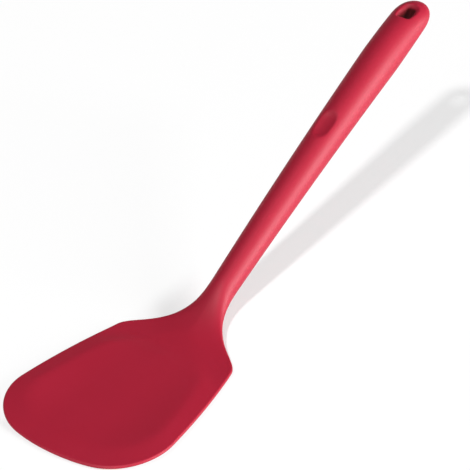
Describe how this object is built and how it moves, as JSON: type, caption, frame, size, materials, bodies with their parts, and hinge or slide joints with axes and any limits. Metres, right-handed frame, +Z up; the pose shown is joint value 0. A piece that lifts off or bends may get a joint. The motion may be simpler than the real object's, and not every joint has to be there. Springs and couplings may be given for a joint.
{
  "type": "silicone turner",
  "caption": "Kitchen turner with a wide, softly arched silicone blade, rounded shoulders, a narrow neck and a raised round handle with a thumb rest and hang hole, moulded over a steel core.",
  "frame": {"origin": "under the middle of the turner's length and width, on the surface that the flat of the blade lies on", "axes": "+X from the blade's front edge towards the tail of the handle, +Y across the blade, +Z up out of the blade's upper face"},
  "size_m": [0.3202, 0.0916, 0.0991],
  "materials": {
    "silicone": "satin moulded silicone, deep red",
    "plug_silicone": "satin poured silicone, deep red",
    "core_steel": "plain rolled stainless steel"
  },
  "bodies": {
    "root": {"silicone_skin": "silicone", "blade_plate": "core_steel", "handle_core": "core_steel", "core_rivet_front": "core_steel", "core_rivet_rear": "core_steel", "pin_plug_blade": "plug_silicone", "pin_plug_front": "plug_silicone", "pin_plug_middle": "plug_silicone", "pin_plug_rear": "plug_silicone"}
  },
  "joints": []
}
